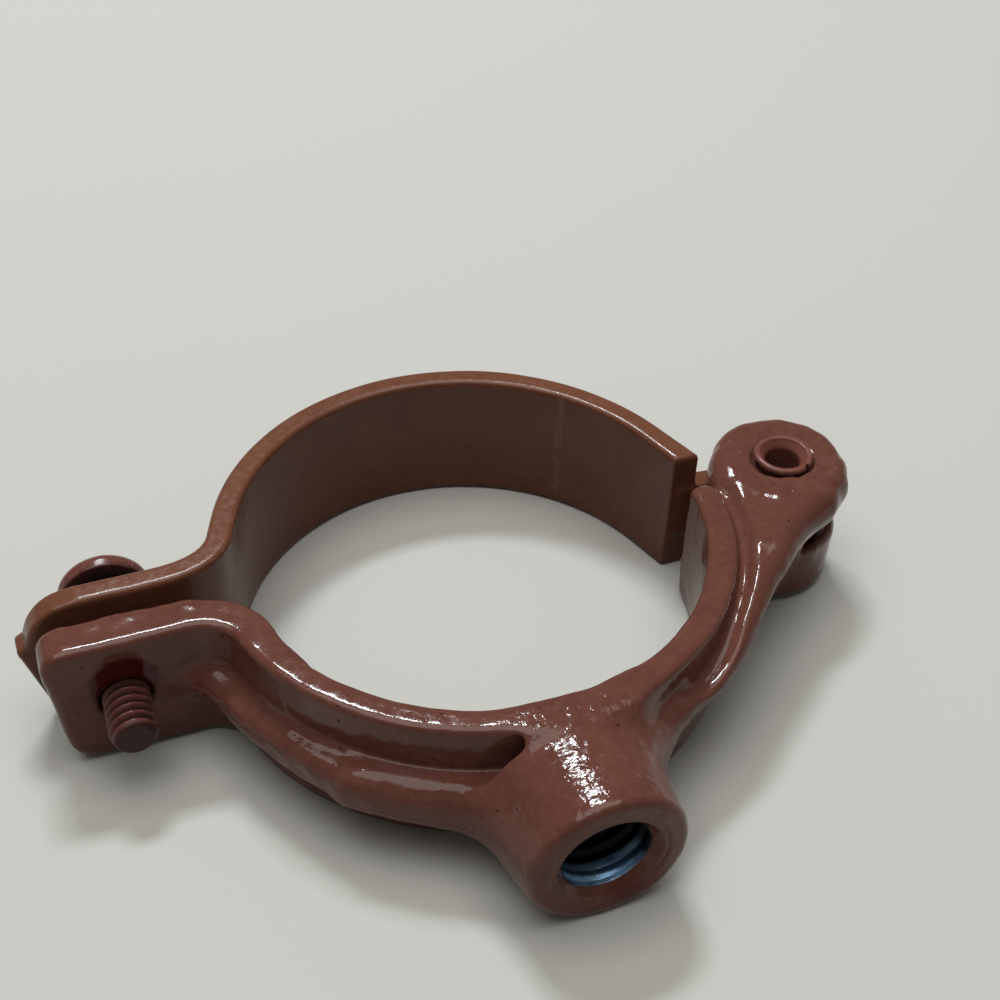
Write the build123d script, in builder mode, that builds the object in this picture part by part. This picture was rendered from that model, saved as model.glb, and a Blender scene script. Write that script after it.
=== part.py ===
from build123d import *
import os
from math import sqrt, radians, cos, sin, asin

os.makedirs("parts", exist_ok=True)

# Hinged split pipe clamp (split ring hanger), lying on its side.
# Frame: the pipe axis is +Z, z = 0 is the underside, +X runs along the parting
# plane to the hinge, and the rod boss points along -Y.

# ---------------------------------------------------------------- dimensions
height = 16.2            # width of the band along the pipe
seat_r = 24.6            # pipe seat, for pipe of 48.3 mm outside diameter
mid_z = height / 2

# cast half
wall_t = 3.3             # cast wall behind the seat
wall_r = seat_r + wall_t
wall_end_y = -1.5        # free end of the cast wall beside the hinge
rib_r = 31.0             # outside of the mid-height rib
rib_z0, rib_z1 = 6.1, 10.1
ear_end_x = -45.1
ear_t = 4.7
ear_blend_r = 7.0
arm_z0, arm_z1 = 0.7, 15.5      # hinge arm and lugs

# rod boss and its tapped hole (3/8-16 UNC)
boss_r = 8.1
boss_x = -0.3
boss_face_y = -38.5
rod_hole_r = 4.8         # thread's major radius, as a plain wall
rod_hole_depth = 12.0
rod_chamfer_r = 5.6

# hinge
hinge_x = 36.9
lug_r = 7.15
lower_lug_r = 6.7
lug_gap_z0, lug_gap_z1 = 4.55, 11.65
slot_r = 6.3             # clearance round the strap's eye
web_top_z = 7.6          # top of the web that closes the slot's outer side
rivet_r = 2.7
rivet_bore_r = 2.05
rivet_lip_r = 3.25
rivet_foot_r = 3.5
pin_hole_r = 2.74

# strap half
strap_t = 2.7
strap_r = seat_r + strap_t
strap_end_y = 2.9        # squared shoulder beside the hinge
strap_ear_y = 2.0        # ear stands this far off the cast ear
strap_ear_x = -47.0
strap_bend_r = 12.0      # bend from the band into the ear, inside face
eye_bore_r = 2.78
eye_r = eye_bore_r + 2.6
tongue_z0, tongue_z1 = 4.85, 11.35

# clamp screw (No. 10-24, 3/4 in long, round head)
screw_x = -37.6          # where its axis crosses the parting plane
thread_r = 2.41
tap_r = 2.62
clearance_r = 2.95
head_r = 4.7
head_rim_r = 4.8
head_y = 9.95            # underside of the head, along the axis
screw_tip_y = -9.65
screw_tilt = 2.2         # degrees the screw leans from the ears' normal
head_h = 3.3
slot_w = 1.3
slot_d = 1.7

# ---------------------------------------------------------------- cast half
def flared(r, angle, y_end):
    """Where the face of radius r turns straight, and its end on the plane y = y_end."""
    c, s = cos(radians(angle)), sin(radians(angle))
    return (r * c, r * s), (r * c + (y_end - r * s) * -s / c, y_end)


wall_in, wall_in_end = flared(seat_r, -12.0, wall_end_y)
wall_out, wall_out_end = flared(wall_r, -12.0, wall_end_y)
fx = -sqrt(wall_r**2 - ear_t**2)
screw_axis = (sin(radians(screw_tilt)), cos(radians(screw_tilt)), 0)
screw_plane = Plane(origin=(screw_x, 0, mid_z), x_dir=(0, 0, 1), z_dir=screw_axis)

with BuildPart() as cast_half:
    # seat wall and ear as one bent plate on edge
    with BuildSketch() as wall_profile:
        with BuildLine():
            Line(wall_in_end, wall_in)
            ThreePointArc(wall_in, (0, -seat_r), (-seat_r, 0))
            Line((-seat_r, 0), (ear_end_x, 0))
            Line((ear_end_x, 0), (ear_end_x, -ear_t))
            Line((ear_end_x, -ear_t), (fx, -ear_t))
            ThreePointArc((fx, -ear_t), (0, -wall_r), wall_out)
            Line(wall_out, wall_out_end)
            Line(wall_out_end, wall_in_end)
        make_face()
        fillet(wall_profile.vertices().sort_by_distance((-seat_r, 0))[0], ear_blend_r)
        fillet(wall_profile.vertices().sort_by_distance((fx, -ear_t))[0], 4.0)
        fillet(wall_profile.vertices().sort_by_distance((ear_end_x, 0))[0], 1.6)
        fillet(wall_profile.vertices().sort_by_distance((ear_end_x, -ear_t))[0], 2.6)
        fillet(wall_profile.vertices().sort_by_distance(wall_in_end)[0], 1.2)
        fillet(wall_profile.vertices().sort_by_distance(wall_out_end)[0], 1.2)
    extrude(amount=height)
    fillet(cast_half.faces().sort_by(Axis.Z)[-1].edges() + cast_half.faces().sort_by(Axis.Z)[0].edges(), 0.8)

    # rib at mid height, from the hinge arm to the root of the ear
    with BuildSketch(Plane.XY.offset(rib_z0)) as rib_profile:
        with BuildLine():
            ThreePointArc((0, -rib_r), (-rib_r * cos(radians(45)), -rib_r * sin(radians(45))), (-rib_r * cos(radians(20)), -rib_r * sin(radians(20))))
            Line((-rib_r * cos(radians(20)), -rib_r * sin(radians(20))), (-31.4, -ear_t + 0.3))
            Line((-31.4, -ear_t + 0.3), (-27.0, -ear_t + 0.3))
            ThreePointArc((-27.0, -ear_t + 0.3), (-26.2 * cos(radians(45)), -26.2 * sin(radians(45))), (0, -26.2))
            Line((0, -26.2), (0, -rib_r))
        make_face()
    extrude(amount=rib_z1 - rib_z0)

    # hinge arm: widest at mid height, with a narrower body up to lug height
    with BuildSketch(Plane.XY.offset(rib_z0 - 0.6)) as arm_root:
        with BuildLine():
            Spline((0.5, -29.6), (12.3, -26.9), (18.0, -23.2), (22.2, -19.7), (26.8, -15.1), (31.6, -10.9), (36.4, -7.09))
            Line((36.4, -7.09), (36.9, -2.0))
            Line((36.9, -2.0), (26.5, -3.5))
            ThreePointArc((26.5, -3.5), (26.2 * cos(radians(-45)), 26.2 * sin(radians(-45))), (0.5, -26.2))
            Line((0.5, -26.2), (0.5, -29.6))
        make_face()
    extrude(amount=rib_z1 - rib_z0 + 1.2)
    with BuildSketch(Plane.XY.offset(arm_z0)) as arm_top:
        with BuildLine():
            Line((21.8, -16.0), (23.2, -16.4))
            Spline((23.2, -16.4), (26.6, -12.9), (30.2, -9.9), (33.2, -6.1))
            Line((33.2, -6.1), (36.9, 0.0))
            Line((36.9, 0.0), (30.2, 2.0))
            Spline((30.2, 2.0), (28.9, -4.0), (26.0, -10.0), (21.8, -16.0))
        make_face()
    extrude(amount=arm_z1 - arm_z0)
    with BuildSketch(Plane.XY.offset(arm_z0)) as lower_lug_profile:
        with Locations((hinge_x, 0)):
            Circle(lower_lug_r)
    extrude(amount=mid_z - arm_z0)
    with BuildSketch(Plane.XY.offset(mid_z)) as upper_lug_profile:
        with Locations((hinge_x, 0)):
            Circle(lug_r)
    extrude(amount=arm_z1 - mid_z)

    # rod boss with webs blending it into the rib
    with BuildSketch(Plane.XZ.offset(25.4)) as boss_profile:
        with Locations((boss_x, mid_z)):
            Circle(boss_r)
    extrude(amount=-boss_face_y - 25.4)
    with BuildSketch(Plane.XY.offset(mid_z - 2.9)) as boss_webs:
        with BuildLine():
            Line((boss_x - boss_r + 0.2, -36.2), (boss_x + boss_r - 0.2, -36.2))
            ThreePointArc((boss_x + boss_r - 0.2, -36.2), (8.9, -30.9), (12.3, -26.7))
            Line((12.3, -26.7), (0, -26.0))
            Line((0, -26.0), (-16.6, -26.6))
            ThreePointArc((-16.6, -26.6), (-10.9, -31.3), (boss_x - boss_r + 0.2, -36.2))
        make_face()
    extrude(amount=5.8)

    # nothing of the boss or webs stands inside the pipe seat
    with BuildSketch() as seat_clear:
        Circle(seat_r)
    extrude(amount=height, mode=Mode.SUBTRACT)

    # slot between the lugs, open from the strap's side round to the far side of the
    # hinge, so that the strap's tongue can swing right over
    with BuildSketch(Plane.XY.offset(lug_gap_z0)) as slot_profile:
        with Locations((hinge_x, 0)):
            Circle(slot_r)
        with Locations((hinge_x, 5.0)):
            Rectangle(20.0, 10.0)
        with Locations((hinge_x + 6.5, 4.0)):
            Rectangle(14.0, 12.8)
    extrude(amount=lug_gap_z1 - lug_gap_z0, mode=Mode.SUBTRACT)
    # above the lower lug's web the slot is open on the arm's outer side too
    with BuildSketch(Plane.XY.offset(web_top_z)) as slot_outer:
        with Locations((hinge_x + 6.5, 0)):
            Rectangle(14.0, 20.0)
    extrude(amount=lug_gap_z1 - web_top_z, mode=Mode.SUBTRACT)

    # rivet hole, blind rod hole, tapped screw hole
    with Locations((hinge_x, 0, mid_z)):
        Cylinder(pin_hole_r, 40, mode=Mode.SUBTRACT)
    with BuildSketch(Plane.XZ.offset(-boss_face_y)) as rod_hole:
        with Locations((boss_x, mid_z)):
            Circle(rod_hole_r)
    extrude(amount=-rod_hole_depth, mode=Mode.SUBTRACT)
    with BuildSketch(screw_plane.offset(-10)) as tap_hole:
        Circle(tap_r)
    extrude(amount=20, mode=Mode.SUBTRACT)
    chamfer(cast_half.edges().filter_by(GeomType.CIRCLE).filter_by(lambda e: abs(e.radius - rod_hole_r) < 0.01).sort_by(Axis.Y)[0], rod_chamfer_r - rod_hole_r)
    fillet(cast_half.edges().filter_by(GeomType.CIRCLE).filter_by(lambda e: abs(e.radius - boss_r) < 0.01).sort_by(Axis.Y)[0], 1.0)

cast_half.part.label = "cast_half"
export_step(cast_half.part, "parts/cast_half.step")

# ---------------------------------------------------------------- strap half
def bent_band(y_face, r_face, bend):
    """Tangent points of the bend between a ring of radius r_face and the ear face."""
    cy = y_face + bend
    cx = -sqrt((r_face + bend) ** 2 - cy**2)
    k = r_face / (r_face + bend)
    return (cx, cy), (cx * k, cy * k), (cx, y_face)


(icx, icy), in_ring, in_ear = bent_band(strap_ear_y, seat_r, strap_bend_r)
out_bend = strap_bend_r - strap_t
ox = icx + out_bend * (in_ring[0] - icx) / strap_bend_r
oy = icy + out_bend * (in_ring[1] - icy) / strap_bend_r
s45 = sin(radians(45))


def mid_arc(c, r, p, q):
    """Point of a circle halfway between two of its points."""
    mx, my = (p[0] + q[0]) / 2 - c[0], (p[1] + q[1]) / 2 - c[1]
    m = sqrt(mx * mx + my * my)
    return (c[0] + r * mx / m, c[1] + r * my / m)


in_mid = mid_arc((icx, icy), strap_bend_r, in_ring, in_ear)
out_mid = mid_arc((icx, icy), out_bend, (ox, oy), (icx, icy - out_bend))
band_in, band_in_end = flared(seat_r, 20.0, strap_end_y)
band_out, band_out_end = flared(strap_r, 20.0, strap_end_y)

with BuildPart() as strap_half:
    # band, bend and ear
    with BuildSketch() as band_profile:
        with BuildLine():
            Line(band_in_end, band_in)
            ThreePointArc(band_in, (0, seat_r), in_ring)
            ThreePointArc(in_ring, in_mid, in_ear)
            Line(in_ear, (strap_ear_x, strap_ear_y))
            Line((strap_ear_x, strap_ear_y), (strap_ear_x, strap_ear_y + strap_t))
            Line((strap_ear_x, strap_ear_y + strap_t), (icx, icy - out_bend))
            ThreePointArc((icx, icy - out_bend), out_mid, (ox, oy))
            ThreePointArc((ox, oy), (0, strap_r), band_out)
            Line(band_out, band_out_end)
            Line(band_out_end, band_in_end)
        make_face()
    extrude(amount=height)

    # cropped corners of the ear, with the small nib left between them
    with BuildSketch(Plane.XZ) as ear_crop:
        with BuildLine():
            Polyline((-49, height + 1), (-42.2, height + 1), (-42.2, height))
            ThreePointArc((-42.2, height), (-45.0, height - 1.5), (-45.9, height - 4.0))
            Polyline((-45.9, height - 4.0), (-47.0, height - 4.5), (-49, height - 4.5), (-49, height + 1))
        make_face()
        with BuildLine():
            Polyline((-49, 10.9), (-46.95, 10.9), (-45.4, 2.4), (-43.2, 0.0), (-43.2, -1.0), (-49, -1.0), (-49, 10.9))
        make_face()
    extrude(amount=-10, mode=Mode.SUBTRACT)

    # eased long edges of the band
    fillet(
        strap_half.edges().filter_by(lambda e: e.geom_type == GeomType.CIRCLE and abs(e.center().Z - mid_z) > mid_z - 0.01 and e.radius > 5),
        0.4,
    )

    # narrow tongue bent outwards to the hinge, and its rolled eye
    with BuildSketch(Plane.XY.offset(tongue_z0)) as tongue_profile:
        with BuildLine():
            Polyline(
                (26.4, strap_end_y),
                (26.1, 7.6),
                (27.6, 6.2),
                (29.2, eye_r + 0.15),
                (31.0, eye_r),
                (hinge_x, eye_r),
                (hinge_x, eye_bore_r),
                (27.4, eye_bore_r),
                close=True,
            )
        make_face()
        with Locations((hinge_x, 0)):
            Circle(eye_r)
            Circle(eye_bore_r, mode=Mode.SUBTRACT)
        # seam where the eye's rolled end stops short of the tongue
        with Locations((hinge_x - 4.9, 2.55)):
            Rectangle(3.4, 0.45, mode=Mode.SUBTRACT)
    extrude(amount=tongue_z1 - tongue_z0)
    with Locations((hinge_x, 0, mid_z)):
        Cylinder(eye_bore_r, 20, mode=Mode.SUBTRACT)

    # clearance hole for the screw
    with BuildSketch(screw_plane) as screw_hole:
        Circle(clearance_r)
    extrude(amount=10, mode=Mode.SUBTRACT)

strap_half.part.label = "strap_half"
export_step(strap_half.part, "parts/strap_half.step")

# ---------------------------------------------------------------- hinge rivet
with BuildPart() as hinge_rivet:
    # hollow rivet: flat foot, shank through both lugs, lip rolled over the top
    with BuildSketch(Plane.XZ) as rivet_profile:
        with BuildLine():
            Polyline(
                (hinge_x + rivet_bore_r, 0.0),
                (hinge_x + rivet_foot_r - 0.25, 0.0),
                (hinge_x + rivet_foot_r, 0.25),
                (hinge_x + rivet_foot_r, arm_z0),
                (hinge_x + rivet_r, arm_z0),
                (hinge_x + rivet_r, arm_z1),
                (hinge_x + rivet_lip_r, arm_z1),
                (hinge_x + rivet_lip_r, arm_z1 + 0.5),
                (hinge_x + rivet_lip_r - 0.35, arm_z1 + 0.85),
                (hinge_x + rivet_bore_r + 0.35, arm_z1 + 0.85),
                (hinge_x + rivet_bore_r, arm_z1 + 0.5),
                close=True,
            )
        make_face()
    revolve(axis=Axis((hinge_x, 0, 0), (0, 0, 1)), revolution_arc=360)

hinge_rivet.part.label = "hinge_rivet"
export_step(hinge_rivet.part, "parts/hinge_rivet.step")

# ---------------------------------------------------------------- clamp screw
with BuildPart() as clamp_screw:
    # round head and threaded shank, turned about the screw's own axis
    with BuildSketch(Plane(origin=(screw_x, 0, mid_z), x_dir=(0, 0, 1), z_dir=Vector(screw_axis).cross(Vector(0, 0, 1)) * -1)) as screw_profile:
        with BuildLine():
            Polyline(
                (0, head_y + head_h),
                (0, screw_tip_y),
                (thread_r - 0.35, screw_tip_y),
                (thread_r, screw_tip_y + 0.35),
                (thread_r, head_y),
                (head_r, head_y),
                (head_rim_r, head_y + 0.9),
            )
            ThreePointArc((head_rim_r, head_y + 0.9), (3.4, head_y + 2.6), (0, head_y + head_h))
        make_face()
    revolve(axis=Axis((screw_x, 0, mid_z), screw_axis), revolution_arc=360)
    # driver slot
    with BuildSketch(screw_plane.offset(head_y + head_h - slot_d)) as slot:
        Rectangle(20, slot_w, rotation=35)
    extrude(amount=5, mode=Mode.SUBTRACT)

clamp_screw.part.label = "clamp_screw"
export_step(clamp_screw.part, "parts/clamp_screw.step")
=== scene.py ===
import bpy, math
import numpy as np
from mathutils import Matrix


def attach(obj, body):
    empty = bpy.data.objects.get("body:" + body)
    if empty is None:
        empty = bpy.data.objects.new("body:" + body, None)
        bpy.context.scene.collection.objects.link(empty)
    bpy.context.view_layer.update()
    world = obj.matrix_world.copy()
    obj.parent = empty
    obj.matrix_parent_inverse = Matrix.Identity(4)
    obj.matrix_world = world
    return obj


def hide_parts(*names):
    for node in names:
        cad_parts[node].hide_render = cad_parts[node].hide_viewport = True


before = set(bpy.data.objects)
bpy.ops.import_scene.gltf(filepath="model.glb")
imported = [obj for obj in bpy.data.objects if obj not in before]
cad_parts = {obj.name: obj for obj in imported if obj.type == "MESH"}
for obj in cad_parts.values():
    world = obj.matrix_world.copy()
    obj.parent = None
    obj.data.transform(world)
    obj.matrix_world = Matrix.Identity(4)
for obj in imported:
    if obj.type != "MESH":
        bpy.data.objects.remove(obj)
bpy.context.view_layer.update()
MM = 0.001

# ------------------------------------------------------------------ dimensions, mm
H = 16.2                      # width of the ring along the pipe
MID = H / 2
SEAT_R, WALL_R, STRAP_R = 24.6, 27.9, 27.3
HINGE_X = 36.9
BOSS_X, BOSS_R, BOSS_FACE = -0.3, 8.1, -38.5
SCREW_X, TILT = -37.6, math.radians(2.2)
AXIS = np.array([math.sin(TILT), math.cos(TILT), 0.0])     # screw axis


# ------------------------------------------------------------------ distance fields
def clip01(v):
    return np.clip(v, 0.0, 1.0)


def smoothstep(a, b, v):
    t = clip01((v - a) / (b - a))
    return t * t * (3 - 2 * t)


def smin(a, b, k):
    """Union with a rounded inside corner about k wide."""
    h = np.maximum(k - np.abs(a - b), 0.0) / k
    return np.minimum(a, b) - h * h * k * 0.25


def smax(a, b, k):
    return -smin(-a, -b, k)


def poly_sdf(x, y, pts):
    """Signed distance to a closed polygon, negative inside."""
    pts = np.asarray(pts, float)
    d = np.full(x.shape, 1e9)
    inside = np.zeros(x.shape, bool)
    for (ax, ay), (bx, by) in zip(pts, np.roll(pts, -1, 0)):
        ex, ey = bx - ax, by - ay
        ll = ex * ex + ey * ey
        if ll < 1e-12:
            continue
        wx, wy = x - ax, y - ay
        t = clip01((wx * ex + wy * ey) / ll)
        dx, dy = wx - t * ex, wy - t * ey
        d = np.minimum(d, dx * dx + dy * dy)
        if ay != by:
            cross = (ay > y) != (by > y)
            inside ^= cross & (x < (bx - ax) * (y - ay) / (by - ay) + ax)
    d = np.sqrt(d)
    return np.where(inside, -d, d).astype(np.float32)


def slab(d2, dz, r):
    """A profile extruded by dz (negative inside), with its edges rounded to r."""
    a, b = d2 + r, dz + r
    return np.minimum(np.maximum(a, b), 0.0) + np.sqrt(np.maximum(a, 0.0) ** 2 + np.maximum(b, 0.0) ** 2) - r


def arc(cx, cy, r, a0, a1, n=24):
    t = np.radians(np.linspace(a0, a1, n))
    return [(cx + r * math.cos(v), cy + r * math.sin(v)) for v in t]


def curve(pts, n=8):
    """Smooth line through the points (centripetal enough at these spacings)."""
    p = np.asarray(pts, float)
    p = np.vstack([2 * p[0] - p[1], p, 2 * p[-1] - p[-2]])
    out = []
    for i in range(1, len(p) - 2):
        for t in np.linspace(0, 1, n, endpoint=False):
            a, b, c, d = p[i - 1], p[i], p[i + 1], p[i + 2]
            out.append(tuple(0.5 * (2 * b + (c - a) * t + (2 * a - 5 * b + 4 * c - d) * t * t + (3 * b - a - 3 * c + d) * t ** 3)))
    out.append(tuple(p[-2]))
    return out


def noise(shape, org, h, cell, seed):
    """Seeded smooth value noise, -1..1, sampled on the grid."""
    rng = np.random.RandomState(seed)
    ax, lat = [], []
    for k in range(3):
        c = (np.arange(shape[k]) * h) / cell
        ax.append(c)
        lat.append(int(c[-1]) + 3)
    g = rng.uniform(-1, 1, lat).astype(np.float32)
    for k in range(3):
        i = ax[k].astype(int)
        f = (ax[k] - i).astype(np.float32)
        f = f * f * (3 - 2 * f)
        sh = [1, 1, 1]
        sh[k] = -1
        f = f.reshape(sh)
        g = np.take(g, i, axis=k) * (1 - f) + np.take(g, i + 1, axis=k) * f
    return g


def grid(lo, hi, h):
    ax = [np.arange(lo[k], hi[k] + h, h, dtype=np.float32) for k in range(3)]
    x, y = np.meshgrid(ax[0], ax[1], indexing="ij")
    return x, y, ax[2], (len(ax[0]), len(ax[1]), len(ax[2]))


# ------------------------------------------------------------------ field to mesh
def sample(F, p):
    """Trilinear value of the grid at the points p, in cells."""
    n = np.array(F.shape) - 2
    i = np.clip(p.astype(int), 0, n)
    f = p - i
    out = np.zeros(len(p))
    for a in (0, 1):
        for b in (0, 1):
            for c in (0, 1):
                w = (f[:, 0] if a else 1 - f[:, 0]) * (f[:, 1] if b else 1 - f[:, 1]) * (f[:, 2] if c else 1 - f[:, 2])
                out += w * F[i[:, 0] + a, i[:, 1] + b, i[:, 2] + c]
    return out


def gradient(F, p, e=0.75):
    g = np.empty_like(p)
    for k in range(3):
        q = p.copy()
        q[:, k] += e
        r = p.copy()
        r[:, k] -= e
        g[:, k] = (sample(F, q) - sample(F, r)) / (2 * e)
    return g


def surface(F, lo, h):
    """Surface of F = 0 as quads, with the vertices drawn onto it. Returns vertices, quads, normals."""
    s = F < 0
    c = np.zeros(np.array(F.shape) - 1, np.int8)
    S = lambda a, b, d: (slice(a, s.shape[0] - 1 + a), slice(b, s.shape[1] - 1 + b), slice(d, s.shape[2] - 1 + d))
    for a in (0, 1):
        for b in (0, 1):
            for d in (0, 1):
                c += s[S(a, b, d)]
    cell = np.argwhere((c > 0) & (c < 8))
    idx = np.full(c.shape, -1, np.int64)
    idx[cell[:, 0], cell[:, 1], cell[:, 2]] = np.arange(len(cell))
    P = np.zeros((len(cell), 3))
    W = np.zeros(len(cell))
    for k in range(3):
        o = [m for m in range(3) if m != k]
        for u in (0, 1):
            for v in (0, 1):
                a = np.zeros(3, int)
                a[o[0]], a[o[1]] = u, v
                b = a.copy()
                b[k] = 1
                fa = F[cell[:, 0] + a[0], cell[:, 1] + a[1], cell[:, 2] + a[2]]
                fb = F[cell[:, 0] + b[0], cell[:, 1] + b[1], cell[:, 2] + b[2]]
                m = (fa < 0) != (fb < 0)
                t = fa[m] / (fa[m] - fb[m])
                P[m] += a + t[:, None] * (b - a)
                W[m] += 1
    P = P / W[:, None] + cell
    for _ in range(2):
        v = sample(F, P)
        g = gradient(F, P)
        P -= np.clip(v / np.maximum((g * g).sum(1), 1e-9), -0.4 * 1, 0.4 * 1)[:, None] * g
    quads = []
    for k in range(3):
        o = [(k + 1) % 3, (k + 2) % 3]
        lo_s = [slice(1, n - 1) for n in s.shape]
        hi_s = list(lo_s)
        lo_s[k], hi_s[k] = slice(0, s.shape[k] - 1), slice(1, s.shape[k])
        s0, s1 = s[tuple(lo_s)], s[tuple(hi_s)]
        e = np.argwhere(s0 != s1)
        first = s0[e[:, 0], e[:, 1], e[:, 2]]
        base = e + 1
        base[:, k] -= 1
        q = []
        for u, v in ((0, 0), (1, 0), (1, 1), (0, 1)):
            b = base.copy()
            b[:, o[0]] -= u
            b[:, o[1]] -= v
            q.append(idx[b[:, 0], b[:, 1], b[:, 2]])
        q = np.stack(q, 1)
        q[~first] = q[~first][:, ::-1]
        quads.append(q)
    quads = np.vstack(quads)
    N = gradient(F, P)
    N /= np.maximum(np.linalg.norm(N, axis=1), 1e-9)[:, None]
    return np.asarray(lo) + P * h, quads, N


def make_object(name, verts, quads, normals):
    me = bpy.data.meshes.new(name)
    me.vertices.add(len(verts))
    me.vertices.foreach_set("co", (verts * MM).astype(np.float32).ravel())
    me.loops.add(quads.size)
    me.loops.foreach_set("vertex_index", quads.astype(np.int32).ravel())
    me.polygons.add(len(quads))
    me.polygons.foreach_set("loop_start", np.arange(0, quads.size, 4, dtype=np.int32))
    me.update(calc_edges=True)
    me.validate()
    me.polygons.foreach_set("use_smooth", np.ones(len(me.polygons), bool))
    if normals is not None and len(me.polygons) == len(quads):
        me.normals_split_custom_set_from_vertices([tuple(n) for n in normals.astype(float)])
    ob = bpy.data.objects.new(name, me)
    bpy.context.scene.collection.objects.link(ob)
    return ob


def solid(name, F, lo, h):
    v, q, n = surface(F, lo, h)
    return make_object(name, v, q, n)


# ------------------------------------------------------------------ cast half
def cast_field(h):
    lo, hi = (-47.0, -40.0, -1.2), (45.4, 9.2, 17.4)
    x, y, za, shape = grid(lo, hi, h)
    z = za[None, None, :]
    rho = np.hypot(x, y)

    # seat wall and ear, one bent plate
    inner = arc(26.1, -2.5, 1.62, 10, 165, 14) + arc(0, 0, SEAT_R, -8, -148, 60)
    inner += curve([(-21.05, -12.25), (-22.45, -8.9), (-23.0, -6.5), (-23.9, -4.25), (-25.9, -2.1), (-28.35, -0.8), (-31.0, -0.3), (-34.0, -0.1)])
    inner += [(-39.0, 0.0), (-46.2, 0.0), (-46.2, -4.7), (-38.0, -4.75)]
    inner += arc(-30.69, -8.7, 4.0, 90, 16, 10)
    inner += arc(0, 0, WALL_R, -164, -6, 60)
    d2 = poly_sdf(x, y, inner)[:, :, None]
    taper = 0.35 * clip01((4.0 - z) / 4.0) + 0.12 * clip01((z - 12) / 4.2)
    wall = slab(d2 + taper, np.abs(z - MID) - MID, 0.95)
    # rounded corners of the free end of the ear, and its slight lean
    end = -45.65 + 1.95 * (1 - z / H)
    cx = np.maximum(end + 3.1 - x[:, :, None], 0.0)
    corner = np.sqrt(cx ** 2 + np.maximum(np.abs(z - MID) - (MID - 3.1), 0.0) ** 2) - 3.1
    wall = smax(wall, corner, 1.1)
    # rounded free end beside the hinge
    tip = np.sqrt(np.maximum(y[:, :, None] + 0.85 + 1.3, 0.0) ** 2 + np.maximum(np.abs(z - MID) - (MID - 1.3), 0.0) ** 2) - 1.3
    wall = np.where(x[:, :, None] > 15, smax(wall, tip, 0.9), wall)

    # rib at mid height
    rib_pts = [(-33.6, -2.6), (-32.9, -4.1), (-31.6, -5.3)] + curve([(-30.6, -6.3), (-29.5, -8.3), (-27.3, -13.3), (-21.9, -21.7), (-14.5, -27.0), (-7.5, -29.6), (0, -30.4)])
    rib_pts += [(0, -26)] + arc(0, 0, 26.2, -95, -165, 30) + [(-29, -3.0)]
    drib = poly_sdf(x, y, rib_pts)[:, :, None]
    ang = np.degrees(np.arctan2(y, x))[:, :, None]
    zc = 8.1 + 0.25 * np.sin(np.radians(ang * 3.1)) - 0.5 * smoothstep(-100, -70, ang)
    halfh = 2.15 + 0.25 * np.sin(np.radians(ang * 5.0 + 40))
    rib = slab(drib, np.abs(z - zc) - halfh, 1.85)
    burr = noise(shape, lo, h, 1.5, 5) * smoothstep(29.0, 30.4, rho)[:, :, None] * smoothstep(-158, -146, ang) * smoothstep(-98, -108, ang)
    rib = rib + 0.17 * burr
    body = smin(wall, rib, 1.5)

    # hinge arm, a bulge that deepens and grows towards the lugs
    arm_pts = curve([(2.0, -29.5), (8.0, -29.0), (12.1, -26.9), (14.0, -25.5), (17.0, -23.9), (21.3, -20.8), (25.6, -16.6), (30.4, -12.0), (34.2, -8.7), (38.5, -6.7)])
    arm_pts += [(37.5, 0.5), (30.6, 2.2)] + curve([(29.5, 0.5), (28.2, -4.0), (26.0, -8.2), (23.6, -12.7), (20.2, -17.3), (15.9, -21.1), (10.4, -24.2), (3.0, -26.0)])
    darm = poly_sdf(x, y, arm_pts)[:, :, None]
    along = smoothstep(-72, -14, ang)
    half = 4.3 + 3.1 * along ** 0.75
    rr = np.minimum(3.1 - 1.0 * along, half - 0.3)
    # outer side drawn in towards the underside
    draft = (0.24 + 0.20 * smoothstep(-36, -52, ang)) * (1 - smoothstep(-54, -84, ang))
    arm = slab(darm - np.clip((z - MID) * draft, -1.9, 1.25), np.abs(z - MID) - half, rr)

    # lugs
    dl = np.hypot(x - HINGE_X, y)[:, :, None]
    upper = slab(dl - 7.2 - 0.6 * smoothstep(-1.0, 6.0, y)[:, :, None], np.abs(z - 13.5) - 2.1, 1.55)
    upper = np.maximum(upper, 11.3 - z)
    lower = slab(dl - 7.1, np.abs(z - 4.15) - 3.45, 0.8)
    mid = slab(dl - 6.9, np.abs(z - MID) - 3.9, 0.5)
    lugs = np.minimum(np.minimum(upper, lower), mid)
    arm = smin(arm, lugs, 1.6)
    # slight dish round the rivet
    arm = smax(arm, -(np.sqrt((dl) ** 2 + ((z - 29.2)) ** 2) - 13.95), 1.2)
    # upper flank that runs from the lug down into the arm
    flank = poly_sdf(x, y, [(36.5, 0.0), (43.4, -2.0), (42.4, -4.4), (39.4, -6.7), (35.4, -8.9), (32.4, -11.0), (29.5, -13.2), (28.0, -11.5), (30.5, -7.0)])[:, :, None]
    arm = smin(arm, slab(flank, np.abs(z - 13.0) - 1.9, 1.8), 2.2)
    # shallow groove between the arm and the wall, wider towards the boss
    gw = 0.55 + 0.7 * smoothstep(-40, -54, ang) - 2.4 * smoothstep(-56, -74, ang)
    groove = np.sqrt((rho[:, :, None] - 28.55 - 0.5 * smoothstep(-40, -52, ang)) ** 2 + ((z - MID - half - 0.15) * 0.85) ** 2) - gw - 0.3
    groove = smax(groove, np.maximum(ang + 3.0, -(ang + 80.0)) * 0.4, 1.6)
    arm = smax(arm, -groove, 0.9)
    body = smin(body, arm, 0.75)

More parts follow.
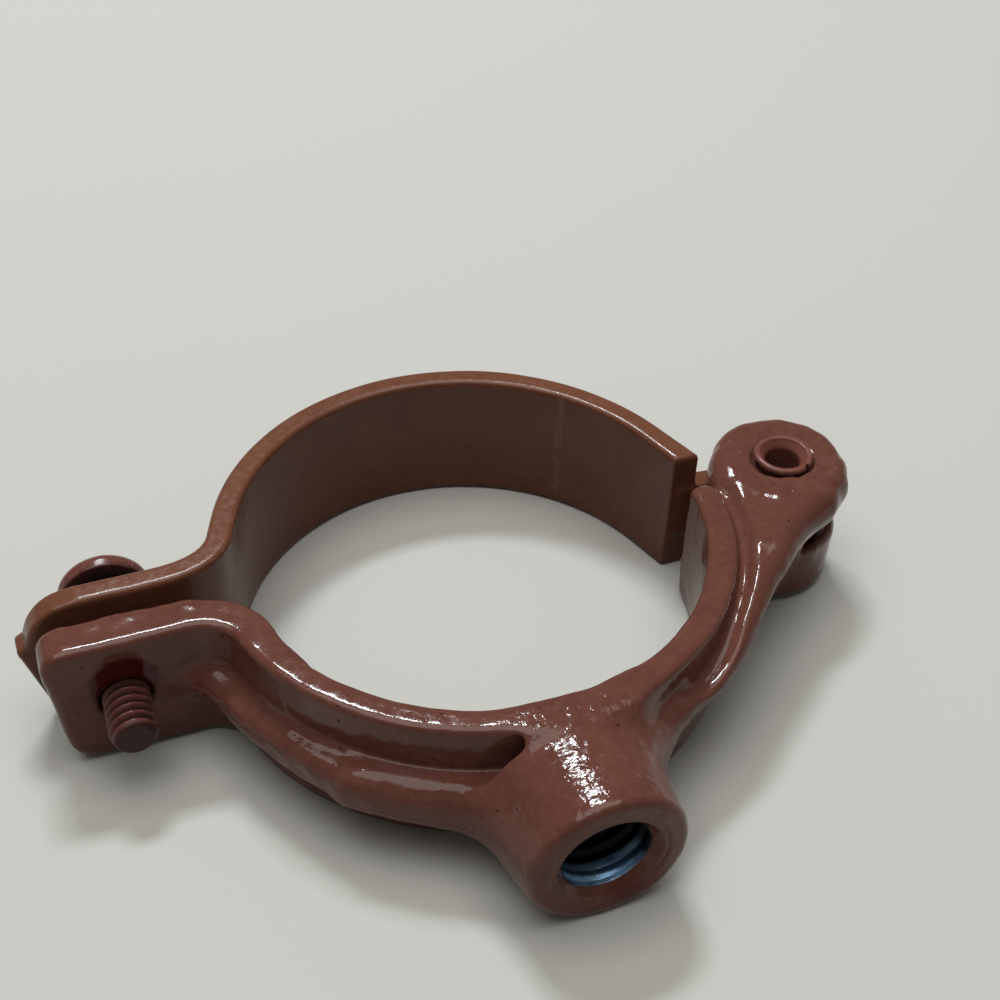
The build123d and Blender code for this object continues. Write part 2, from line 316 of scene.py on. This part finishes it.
    # rod boss, its left web, and their fillets
    by = np.hypot(x[:, :, None] - BOSS_X, z - MID)
    flare = 0.9 * clip01((y[:, :, None] + 37.5) / 9.0) ** 1.6
    dcap = np.maximum(BOSS_FACE - y, y + 24.9)[:, :, None]
    boss = slab(by - BOSS_R - flare * clip01((np.abs(x[:, :, None] - BOSS_X) - 2.0) / 5.0), dcap, 0.95)
    web_pts = curve([(-7.6, -36.8), (-8.6, -34.4), (-9.7, -31.6), (-11.7, -29.1), (-15.0, -27.0), (-20.5, -22.8)]) + [(-16, -21.0), (-10, -25.5), (0, -25.5), (0, -36)]
    dweb = poly_sdf(x, y, web_pts)[:, :, None]
    grow = smoothstep(-18.5, -8.0, x)[:, :, None]
    web = slab(dweb, np.abs(z - (8.0 - 0.7 * grow)) - (1.9 + 1.5 * grow), 1.7 + 1.0 * grow)
    body = smin(body, web, 3.0)
    k = 2.2 + 2.4 * smoothstep(2.0, 8.0, x[:, :, None])
    body = smin(body, boss, k)

    # keep the seat open
    seat = (rho - (SEAT_R - 0.03))[:, :, None]
    body = np.where((x[:, :, None] > -18), smax(body, -seat, 0.3), body)

    body = smax(body, np.abs(z - MID) - MID, 0.3)

    # as-cast skin: slow swells, lumps and wavy edges
    n1 = noise(shape, lo, h, 5.5, 3)
    n2 = noise(shape, lo, h, 2.0, 7)
    n3 = noise(shape, lo, h, 0.95, 11)
    body = body + 0.05 * n1 + 0.042 * n2 + 0.02 * n3
    on_lug = smoothstep(9.0, 7.0, dl) * smoothstep(11.0, 13.0, z)
    body = body + on_lug * (0.11 * noise(shape, lo, h, 1.5, 61) + 0.05 * n2)
    crest = smoothstep(6.0, 3.5, np.abs(x[:, :, None] - 0.5)) * smoothstep(12.0, 14.0, z) * smoothstep(-25.5, -27.5, y[:, :, None])
    body = body + crest * 0.035 * noise(shape, lo, h, 0.8, 63)
    # uneven top of the ear, worst along its parting side
    on_ear = smoothstep(-23.0, -28.0, x[:, :, None]) * smoothstep(14.0, 15.6, z) * smoothstep(-3.2, -0.6, y[:, :, None])
    body = body + on_ear * (0.17 * noise(shape, lo, h, 2.4, 71) + 0.09 * noise(shape, lo, h, 1.1, 73) + 0.06)
    # crisp pocket above the rib, closed by the boss on its right
    pa = (ang + 118.0) * 0.49
    pocket = slab(np.abs(pa + 3.0) - 12.4, np.abs(z - 13.25) - 2.35, 1.6)
    pocket = np.maximum(pocket, 27.95 - rho[:, :, None])
    pocket = smax(pocket, rho[:, :, None] - 30.2 + 0.13 * np.maximum(ang + 108.0, 0.0), 1.3)
    body = smax(body, -pocket, 0.5)
    # crevice round the rivet's lip
    body = smax(body, -(np.sqrt((dl - 3.1) ** 2 + (z - 15.3) ** 2) - 0.48), 0.25)

    # slot between the lugs
    slot2 = np.minimum(dl - 6.3, np.maximum(np.abs(x - HINGE_X) - 10, -y)[:, :, None])
    outer = np.maximum(HINGE_X - 0.4 - x, np.abs(y) - 12)[:, :, None]
    outer = np.maximum(outer, np.minimum((-2.4 - y)[:, :, None], 7.7 - z))
    slot2 = np.minimum(slot2, outer)
    body = smax(body, -np.maximum(slot2, np.abs(z - MID) - 3.52), 0.55)

    # rivet hole
    body = smax(body, -(dl - 2.76), 0.25)

    # rod hole: 3/8-16 thread behind a painted countersink
    dep = (y - BOSS_FACE)[:, :, None]
    th = np.arctan2(z - MID, x[:, :, None] - BOSS_X)
    ph = np.mod(dep / 1.5875 + th / (2 * math.pi), 1.0)
    tri = 1 - np.abs(2 * ph - 1)
    fade = smoothstep(0.7, 1.9, dep)
    thread_r = 4.22 + (0.62 * clip01(tri * 1.25 - 0.1)) * fade
    bore = np.maximum((by - thread_r) * 0.8, dep - 12.0 - (4.2 - by) * 0.35)
    sink = (by - (5.45 - 0.95 * dep)) * 0.72
    body = smax(body, -smin(bore, sink, 0.25), 0.3)
    seam = np.sqrt((by - 5.75) ** 2 + (dep + 0.02) ** 2) - 0.24
    body = smax(body, -seam, 0.12)

    # tapped screw hole with a worn front edge
    px, py = x[:, :, None] - SCREW_X, y[:, :, None]
    along_s = px * AXIS[0] + py * AXIS[1]
    side_s = px * AXIS[1] - py * AXIS[0]
    rs = np.hypot(side_s, z - MID)
    ths = np.arctan2(z - MID, side_s)
    phs = np.mod(along_s / 1.058 + ths / (2 * math.pi), 1.0)
    hole = rs - (2.62 + 0.2 * (1 - np.abs(2 * phs - 1)))
    rim = (rs - 3.05 + np.maximum(along_s + 4.9, 0) * 1.3) * 0.7
    body = smax(body, -np.maximum(smin(hole, rim, 0.3), np.abs(along_s) - 8.0), 0.3)
    # shallow worn patch above it
    patch = np.sqrt((side_s - 0.1) ** 2 + (z - 9.2) ** 2 + ((along_s + 4.9 + 24.0)) ** 2) - 24.22
    body = smax(body, -np.maximum(np.maximum(patch, along_s + 3.0), np.hypot(side_s, z - 9.2) - 5.0), 0.1)
    return body.astype(np.float32), lo


# ------------------------------------------------------------------ strap half
def strap_field(h):
    lo, hi = (-48.6, -7.2, -1.2), (44.2, 29.2, 17.4)
    x, y, za, shape = grid(lo, hi, h)
    z = za[None, None, :]
    t = 2.7
    # inner face: shoulder end, ring, bend, ear
    inner = [(24.95, 2.9)] + arc(0, 0, SEAT_R, 20, 158, 70)[0:]
    inner += curve([(-23.35, 7.9), (-24.35, 5.7), (-26.0, 3.9), (-28.3, 2.72), (-31.0, 2.15), (-34.3, 2.0)], 8)
    inner_p = np.array(inner + [(-47.6, 2.0)])
    tan = np.gradient(inner_p, axis=0)
    tan /= np.linalg.norm(tan, axis=1)[:, None]
    nor = np.stack([tan[:, 1], -tan[:, 0]], 1)
    outer = inner_p + nor * t
    outer[0] = (27.95, 2.9)
    band_pts = [tuple(p) for p in inner_p] + [tuple(p) for p in outer[::-1]]
    d2 = poly_sdf(x, y, band_pts)[:, :, None]
    band = slab(d2, np.abs(z - MID) - MID, 0.62)
    # outline of the ear: rounded shoulder, sheared nib, slanted end
    xs, zs = np.meshgrid(x[:, 0], za, indexing="ij")
    out = [(30, -3), (30, 16.2 + 3), (20, 19)] + [(20, 16.2), (-42.0, 16.2)]
    out = [(30, 0.0), (30, 16.2)] + [(-40.2, 16.2)] + curve([(-40.2, 16.2), (-42.7, 15.75), (-44.3, 14.8), (-45.4, 13.4), (-46.0, 11.9)])
    out += [(-46.1, 11.5), (-46.5, 11.3), (-46.95, 11.0), (-47.0, 10.5), (-46.7, 9.6), (-44.7, 2.6), (-44.1, 0.8), (-42.8, 0.0)]
    de = poly_sdf(xs, zs, out)[:, None, :]
    near = np.where((x < -36)[:, :, None], np.broadcast_to(de, band.shape), -9.0)
    a, b = d2 + 0.45, near + 0.45
    cap = np.minimum(np.maximum(a, b), 0.0) + np.sqrt(np.maximum(a, 0.0) ** 2 + np.maximum(b, 0.0) ** 2) - 0.45
    band = np.maximum(band, cap)

    # tongue and rolled eye
    tp = [(25.9, 3.2), (26.9, 8.3)] + curve([(26.9, 8.3), (27.8, 6.5), (29.2, 5.6), (31.2, 5.4), (34.0, 5.4), (36.9, 5.4)]) + [(36.9, 2.85), (31.5, 2.85), (28.6, 2.95), (26.2, 2.95)]
    dt = poly_sdf(x, y, tp)[:, :, None]
    tongue = slab(dt, np.abs(z - MID) - 3.25, 0.4)
    de2 = np.hypot(x - HINGE_X, y)[:, :, None]
    eye = np.maximum(slab(np.abs(de2 - 4.1) - 1.3, np.abs(z - MID) - 3.25, 0.35), -9)
    # gap where the rolled end stops short of the tongue
    seam = np.maximum(np.abs(y - 2.62)[:, :, None] - 0.22, np.maximum(x - 36.0, 30.5 - x)[:, :, None])
    eye = smax(eye, -seam, 0.2)
    body = smin(band, tongue, 1.1)
    body = smin(body, eye, 0.25)
    body = smax(body, -(de2 - 2.8), 0.2)

    # stamped dishing and slow waves in the coating
    body = body + 0.02 * noise(shape, lo, h, 6.0, 21) + 0.010 * noise(shape, lo, h, 2.2, 23)

    # clearance hole for the screw
    px, py = x[:, :, None] - SCREW_X, y[:, :, None]
    side_s = px * AXIS[1] - py * AXIS[0]
    rs = np.hypot(side_s, z - MID)
    body = np.where((x < -30)[:, :, None], smax(body, -(rs - 2.97), 0.25), body)
    return body.astype(np.float32), lo


# ------------------------------------------------------------------ rivet and screw, about their own axes
def rivet_field(h):
    lo, hi = (-4.6, -4.6, -0.8), (4.6, 4.6, 17.4)
    x, y, za, shape = grid(lo, hi, h)
    z = za[None, None, :]
    r = np.hypot(x, y)[:, :, None]
    th = np.degrees(np.arctan2(y, x))[:, :, None]
    shank = np.maximum(r - 2.68, np.abs(z - 8.1) - 7.85)
    # lip rolled out over the upper lug
    lip = np.sqrt(np.maximum(np.abs(r - 2.68) - 0.20, 0) ** 2 + ((z - 15.94)) ** 2) - 0.42
    wob = 0.07 * np.sin(np.radians(th * 2 + 30)) + 0.04 * np.sin(np.radians(th * 5 + 70))
    lip = lip - 0.04 * np.sin(np.radians(th * 3)) - wob * 0.3
    split = np.hypot((th + 62) * 0.052, 0.0)
    nick = np.sqrt(np.maximum(split - 0.12, 0) ** 2 + np.maximum(3.1 - r, 0) ** 2) - 0.17
    lip = smax(lip, -nick, 0.12)
    foot = slab(r - 3.45, np.abs(z - 0.42) - 0.38, 0.2)
    body = smin(smin(shank, lip, 0.35), foot, 0.2)
    flare = 1.92 + 0.72 * smoothstep(15.1, 16.45, z) ** 1.2 + 0.3 * smoothstep(0.9, 0.0, z)
    body = smax(body, -(r - flare), 0.2)
    body = body + 0.012 * noise(shape, lo, h, 1.3, 31)
    body = np.maximum(body, z - 16.35)
    return body.astype(np.float32), lo


def screw_field(h):
    """Local frame: origin where the axis crosses the parting plane, +z towards the head."""
    lo, hi = (-5.6, -5.6, -10.8), (5.6, 5.6, 14.2)
    x, y, za, shape = grid(lo, hi, h)
    z = za[None, None, :]
    r = np.hypot(x, y)[:, :, None]
    th = np.arctan2(y, x)[:, :, None]
    ph = np.mod(z / 1.058 - th / (2 * math.pi) + 0.30, 1.0)
    tri = 1 - np.abs(2 * ph - 1)
    crest = 1.76 + 0.66 * clip01(tri * 1.22 - 0.10)
    end = smoothstep(-9.7, -8.9, z)
    rad = 1.95 * (1 - end) + crest * end
    rad = np.where(z < -8.9, np.minimum(crest, 1.9 + (z + 10.1) * 0.6), crest)
    shank = (r - rad) * 0.83
    shank = smax(shank, -10.1 - z, 0.12)
    shank = np.maximum(shank, z - 11.0)
    head = np.sqrt(r ** 2 + ((z - 10.9) * 1.98) ** 2) - 4.86
    head = np.where(z < 10.9, r - 4.86 + np.maximum(10.9 - z, 0) * 0.16, head * 0.75)
    head = smax(head, 9.98 - z, 0.22)
    body = smin(shank, head, 0.25)
    ang = math.radians(35)
    across = np.abs(x * math.sin(ang) - y * math.cos(ang))[:, :, None]
    body = smax(body, -np.maximum(across - 0.65, 11.55 - z), 0.12)
    body = body + 0.012 * noise(shape, lo, h, 1.0, 41)
    return body.astype(np.float32), lo


# ------------------------------------------------------------------ materials
class Nodes:
    """Small helper round a node tree."""

    def __init__(self, name):
        self.mat = bpy.data.materials.new(name)
        self.mat.use_nodes = True
        self.t = self.mat.node_tree
        self.t.nodes.clear()
        self.out = self.add("ShaderNodeOutputMaterial")
        self.bsdf = self.add("ShaderNodeBsdfPrincipled")
        self.t.links.new(self.bsdf.outputs[0], self.out.inputs[0])
        self.obj = self.add("ShaderNodeTexCoord").outputs["Object"]

    def add(self, kind, **kw):
        n = self.t.nodes.new(kind)
        for k, v in kw.items():
            setattr(n, k, v)
        return n

    def put(self, sock, v):
        if hasattr(v, "is_linked"):
            self.t.links.new(v, sock)
        else:
            sock.default_value = v

    def noise(self, scale, detail=2.0, rough=0.5, dist=0.0, vec=None):
        n = self.add("ShaderNodeTexNoise")
        n.inputs["Scale"].default_value = scale
        n.inputs["Detail"].default_value = detail
        n.inputs["Roughness"].default_value = rough
        n.inputs["Distortion"].default_value = dist
        self.put(n.inputs["Vector"], vec or self.obj)
        return n.outputs["Fac"]

    def voronoi(self, scale, vec=None, out="Distance"):
        n = self.add("ShaderNodeTexVoronoi")
        n.inputs["Scale"].default_value = scale
        self.put(n.inputs["Vector"], vec or self.obj)
        return n.outputs[out]

    def ramp(self, fac, *stops):
        n = self.add("ShaderNodeValToRGB")
        e = n.color_ramp.elements
        while len(e) < len(stops):
            e.new(0.5)
        for el, (p, c) in zip(e, stops):
            el.position = p
            el.color = (*c, 1) if len(c) == 3 else c
        self.put(n.inputs[0], fac)
        return n.outputs[0]

    def math(self, op, a, b=0.0, clamp=False):
        n = self.add("ShaderNodeMath", operation=op, use_clamp=clamp)
        self.put(n.inputs[0], a)
        self.put(n.inputs[1], b)
        return n.outputs[0]

    def remap(self, v, a, b, c=0.0, d=1.0):
        n = self.add("ShaderNodeMapRange")
        self.put(n.inputs[0], v)
        for i, q in enumerate((a, b, c, d)):
            n.inputs[i + 1].default_value = q
        return n.outputs[0]

    def mix(self, fac, a, b, blend="MIX"):
        n = self.add("ShaderNodeMix", data_type="RGBA", blend_type=blend)
        self.put(n.inputs["Factor"], fac)
        self.put(n.inputs["A"], (*a, 1) if isinstance(a, tuple) else a)
        self.put(n.inputs["B"], (*b, 1) if isinstance(b, tuple) else b)
        return n.outputs["Result"]

    def bump(self, height, dist, strength=1.0, normal=None):
        n = self.add("ShaderNodeBump")
        n.inputs["Strength"].default_value = strength
        n.inputs["Distance"].default_value = dist
        self.put(n.inputs["Height"], height)
        if normal is not None:
            self.put(n.inputs["Normal"], normal)
        return n.outputs[0]

    def near(self, centre, axes):
        """Distance from a point, stretched by axes, in metres."""
        m = self.add("ShaderNodeVectorMath", operation="SUBTRACT")
        self.put(m.inputs[0], self.obj)
        m.inputs[1].default_value = centre
        s = self.add("ShaderNodeVectorMath", operation="MULTIPLY")
        self.put(s.inputs[0], m.outputs[0])
        s.inputs[1].default_value = axes
        l = self.add("ShaderNodeVectorMath", operation="LENGTH")
        self.put(l.inputs[0], s.outputs[0])
        return l.outputs["Value"]


def coating(name, base, deep, light, peel=0.00003, speckle=0.000016, pits=True, rough=0.13, crown=None):
    """Glossy dipped coating: colour pools and thin spots, orange peel, dust and pinholes."""
    n = Nodes(name)
    a = n.noise(260.0, 4.0, 0.6, 0.4)
    b = n.noise(1100.0, 3.0, 0.6)
    c = n.noise(4200.0, 2.0, 0.5)
    col = n.mix(n.remap(a, 0.35, 0.75, 0.0, 0.30), base, deep)
    col = n.mix(n.remap(b, 0.45, 0.75, 0.0, 0.16), col, light)
    col = n.mix(n.remap(c, 0.58, 0.8, 0.0, 0.14), col, light)
    # crevices hold more coating, and edges wear thinner and lighter
    geo = n.add("ShaderNodeNewGeometry")
    edge = n.remap(geo.outputs["Pointiness"], 0.565, 0.64, 0.0, 0.45)
    hollow = n.remap(geo.outputs["Pointiness"], 0.47, 0.41, 0.0, 0.7)
    col = n.mix(hollow, col, deep)
    col = n.mix(edge, col, light)
    r = n.remap(b, 0.3, 0.75, rough * 0.75, rough * 1.5)
    height = n.noise(1300.0, 2.0, 0.5)
    fine = n.noise(3600.0, 2.0, 0.5)
    norm = n.bump(n.noise(520.0, 2.0, 0.5), peel * 1.6)
    coarse = norm.node
    norm = n.bump(height, peel, 1.0, norm)
    if crown:
        amount = n.remap(n.near(*crown), 0.0095, 0.006, 0.22, 1.0)
        n.put(coarse.inputs["Strength"], amount)
        n.put(norm.node.inputs["Strength"], amount)
    norm = n.bump(fine, speckle, 1.0, norm)
    if pits:
        cell = n.voronoi(800.0)
        rare = n.voronoi(800.0, out="Color")
        sep = n.add("ShaderNodeSeparateColor")
        n.put(sep.inputs[0], rare)
        pick = n.remap(sep.outputs[0], 0.80, 0.82)
        pit = n.math("MULTIPLY", n.remap(cell, 0.125, 0.06), pick, True)
        col = n.mix(n.math("MULTIPLY", pit, 0.85), col, (0.008, 0.004, 0.004))
        norm = n.bump(n.math("SUBTRACT", 1.0, pit), 0.00012, 0.8, norm)
    n.put(n.bsdf.inputs["Base Color"], col)
    n.put(n.bsdf.inputs["Roughness"], r)
    n.put(n.bsdf.inputs["Normal"], norm)
    n.bsdf.inputs["Metallic"].default_value = 0.0
    n.bsdf.inputs["IOR"].default_value = 1.30
    return n


def srgb(r, g, b):
    f = lambda v: (v / 255 / 12.92) if v / 255 <= 0.04045 else ((v / 255 + 0.055) / 1.055) ** 2.4
    return (f(r), f(g), f(b))


BASE, DEEP, LIGHT = srgb(88, 53, 44), srgb(56, 28, 19), srgb(120, 82, 74)
cast_n = coating("coated_casting", BASE, DEEP, LIGHT, peel=0.00006, speckle=0.000008, rough=0.10, crown=((0.0005, -0.0315, 0.0150), (1.0, 0.8, 1.0)))
strap_n = coating("coated_strap", srgb(95, 58, 42), srgb(60, 32, 18), srgb(118, 80, 62), peel=0.00002, speckle=0.000008, pits=False, rough=0.2)
rivet_n = coating("coated_rivet", srgb(104, 62, 54), DEEP, srgb(132, 92, 86), peel=0.00002, speckle=0.00001, pits=False, rough=0.22)
screw_n = coating("coated_screw", srgb(94, 54, 48), srgb(48, 20, 16), srgb(124, 88, 84), peel=0.000015, speckle=0.00001, pits=False, rough=0.2)


def add_patch(n, centre, axes, r0, r1, colour, amount):
    """Tints the coating inside an ellipsoid."""
    d = n.near(centre, axes)
    soft = n.math("ADD", d, n.math("MULTIPLY", n.noise(900.0, 2.0), 0.0006))
    f = n.remap(soft, r1, r0, 0.0, amount)
    sock = n.bsdf.inputs["Base Color"]
    src = sock.links[0].from_socket
    n.put(sock, n.mix(f, src, colour))


# painted shade: a dark red patch in the shallow dip above the screw hole; also a darker red patch at the root of the
# rib
add_patch(cast_n, (-0.0377, -0.0050, 0.0104), (1.0, 0.6, 1.0), 0.0035, 0.0040, srgb(58, 12, 11), 0.9)
add_patch(cast_n, (-0.0318, -0.0050, 0.0083), (0.6, 1.0, 1.4), 0.0012, 0.0034, srgb(78, 26, 14), 0.6)

add_patch(cast_n, (0.0021, -0.0383, 0.0024), (1.0, 1.0, 1.5), 0.0012, 0.0034, srgb(72, 22, 18), 0.75)

# bare threaded bore: blue-grey steel near the mouth, its bright blue partly a painted reflection; painted shade makes
# it black further in and over its upper half
def add_bore(n):
    rad = n.near((BOSS_X * MM, 0, MID * MM), (1.0, 0.0, 1.0))
    sep = n.add("ShaderNodeSeparateXYZ")
    n.put(sep.inputs[0], n.obj)
    dep = sep.outputs[1]
    g1 = n.noise(900.0, 4.0, 0.6)
    g2 = n.noise(5200.0, 3.0, 0.6)
    # bare steel colour, brightened blue as a painted reflection
    bc = n.ramp(g1, (0.3, srgb(84, 122, 164)), (0.7, srgb(150, 190, 222)))
    bc = n.mix(n.remap(g2, 0.5, 0.75, 0.0, 0.5), bc, srgb(20, 24, 30))
    # painted shade: near black deeper into the bore
    bc = n.mix(n.remap(dep, (BOSS_FACE + 2.0) * MM, (BOSS_FACE + 3.6) * MM, 0.0, 0.985), bc, (0.001, 0.0015, 0.002))
    # painted shade: near black over the upper half of the bore
    bc = n.mix(n.remap(sep.outputs[2], (MID - 3.6) * MM, (MID - 1.6) * MM, 0.0, 0.97), bc, (0.001, 0.0012, 0.0015))
    b = n.add("ShaderNodeBsdfPrincipled")
    n.put(b.inputs["Base Color"], bc)
    n.put(b.inputs["Roughness"], n.remap(g2, 0.3, 0.7, 0.25, 0.5))
    b.inputs["Metallic"].default_value = 0.7
    n.put(b.inputs["Normal"], n.bump(g2, 0.00002))
    edge = n.math("ADD", rad, n.math("MULTIPLY", g1, 0.0002))
    inside = n.remap(edge, 0.00505, 0.00495)
    deep = n.remap(dep, (BOSS_FACE + 1.0) * MM, (BOSS_FACE + 1.12) * MM)
    back = n.remap(dep, -0.0250, -0.0251)
    m = n.math("MULTIPLY", n.math("MULTIPLY", inside, deep), back, True)
    mx = n.add("ShaderNodeMixShader")
    n.put(mx.inputs[0], m)
    n.put(mx.inputs[1], n.bsdf.outputs[0])
    n.put(mx.inputs[2], b.outputs[0])
    n.put(n.out.inputs[0], mx.outputs[0])


add_bore(cast_n)
# painted shade in the roots of the screw's thread and at its tip, which are also made rougher
root = screw_n.near(((SCREW_X - 0.29) * MM, 0, MID * MM), (1.0, 0.0, 1.0))
root_shade = screw_n.remap(root, 0.00232, 0.00198, 0.0, 0.8)
root_src = screw_n.bsdf.inputs["Base Color"].links[0].from_socket
screw_n.put(screw_n.bsdf.inputs["Base Color"], screw_n.mix(root_shade, root_src, srgb(34, 16, 12)))
rough_src = screw_n.bsdf.inputs["Roughness"].links[0].from_socket
screw_n.put(screw_n.bsdf.inputs["Roughness"], screw_n.math("ADD", rough_src, screw_n.math("MULTIPLY", root_shade, 0.4)))
# charcoal underside of the screw's head
add_patch(screw_n, (SCREW_X * MM + AXIS[0] * 0.0099, AXIS[1] * 0.0099, MID * MM), (0.18, 1.0, 0.18), 0.0009, 0.0014, srgb(30, 26, 26), 0.92)

# ------------------------------------------------------------------ pieces
step = 0.25
F, lo = cast_field(step)
cast = solid("cast_half_body", F, lo, step)
cast.data.materials.append(cast_n.mat)
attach(cast, "cast_half")
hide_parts("cast_half")

step = 0.22
F, lo = strap_field(step)
strap = solid("strap_half_band", F, lo, step)
strap.data.materials.append(strap_n.mat)
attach(strap, "strap_half")
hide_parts("strap_half")

step = 0.09
F, lo = rivet_field(step)
v, q, nn = surface(F, lo, step)
v[:, 0] += HINGE_X
rivet = make_object("hollow_rivet", v, q, nn)
rivet.data.materials.append(rivet_n.mat)
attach(rivet, "cast_half")
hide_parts("hinge_rivet")

step = 0.09
F, lo = screw_field(step)
v, q, nn = surface(F, lo, step)
ex = np.array([AXIS[1], -AXIS[0], 0.0])
ey = np.cross(AXIS, ex)
R = np.stack([ex, ey, AXIS], 1)
v = v @ R.T + np.array([SCREW_X, 0.0, MID])
screw = make_object("clamp_screw_body", v, q, nn @ R.T)
screw.data.materials.append(screw_n.mat)
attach(screw, "clamp_screw")
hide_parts("clamp_screw")

# ------------------------------------------------------------------ stage
me = bpy.data.meshes.new("floor")
s = 3.0
me.from_pydata([(-s, -s, -0.00002), (s, -s, -0.00002), (s, s, -0.00002), (-s, s, -0.00002)], [], [(0, 1, 2, 3)])
floor = bpy.data.objects.new("floor", me)
bpy.context.scene.collection.objects.link(floor)
fl = Nodes("floor")
fl.bsdf.inputs["Base Color"].default_value = (*srgb(170, 170, 165), 1)
fl.bsdf.inputs["Roughness"].default_value = 0.75
fl.bsdf.inputs["Specular IOR Level"].default_value = 0.2
me.materials.append(fl.mat)


def area(name, loc, target, size, size_y, power, colour=(1, 1, 1)):
    d = bpy.data.lights.new(name, "AREA")
    d.shape = "RECTANGLE"
    d.size, d.size_y = size, size_y
    d.energy = power
    d.color = colour
    o = bpy.data.objects.new(name, d)
    bpy.context.scene.collection.objects.link(o)
    z = np.array(loc, float) - np.array(target, float)
    z /= np.linalg.norm(z)
    xax = np.cross((0, 1, 0.001), z)
    xax /= np.linalg.norm(xax)
    yax = np.cross(z, xax)
    M = Matrix.Identity(4)
    for r in range(3):
        M[r][0], M[r][1], M[r][2], M[r][3] = xax[r], yax[r], z[r], loc[r]
    o.matrix_world = M
    return o


area("panel", (0.02, 0.44, 0.73), (0, 0, 0), 0.22, 0.085, 5.2, (0.93, 0.97, 1.0))
area("ceiling", (-0.1, 0.0, 1.3), (0, 0, 0), 1.3, 1.0, 15.0, (1.0, 0.98, 0.95))
world = bpy.data.worlds.new("studio")
world.use_nodes = True
world.node_tree.nodes["Background"].inputs[0].default_value = (1.0, 0.97, 0.92, 1)
world.node_tree.nodes["Background"].inputs[1].default_value = 0.20
bpy.context.scene.world = world

# ------------------------------------------------------------------ camera
cd = bpy.data.cameras.new("camera")
cd.sensor_width = 36.0
cd.lens = 56.958
cd.clip_start, cd.clip_end = 0.01, 20.0
cam = bpy.data.objects.new("camera", cd)
bpy.context.scene.collection.objects.link(cam)
right, up, fwd = (0.934196, -0.355210, 0.033238), (0.211998, 0.627644, 0.749081), (0.286944, 0.692742, -0.661644)
M = Matrix.Identity(4)
for r in range(3):
    M[r][0], M[r][1], M[r][2] = right[r], up[r], -fwd[r]
    M[r][3] = (-44.0307, -113.7532, 127.5433)[r] * MM
cam.matrix_world = M
bpy.context.scene.camera = cam
bpy.context.scene.view_settings.view_transform = "Standard"
bpy.context.scene.view_settings.look = "None"
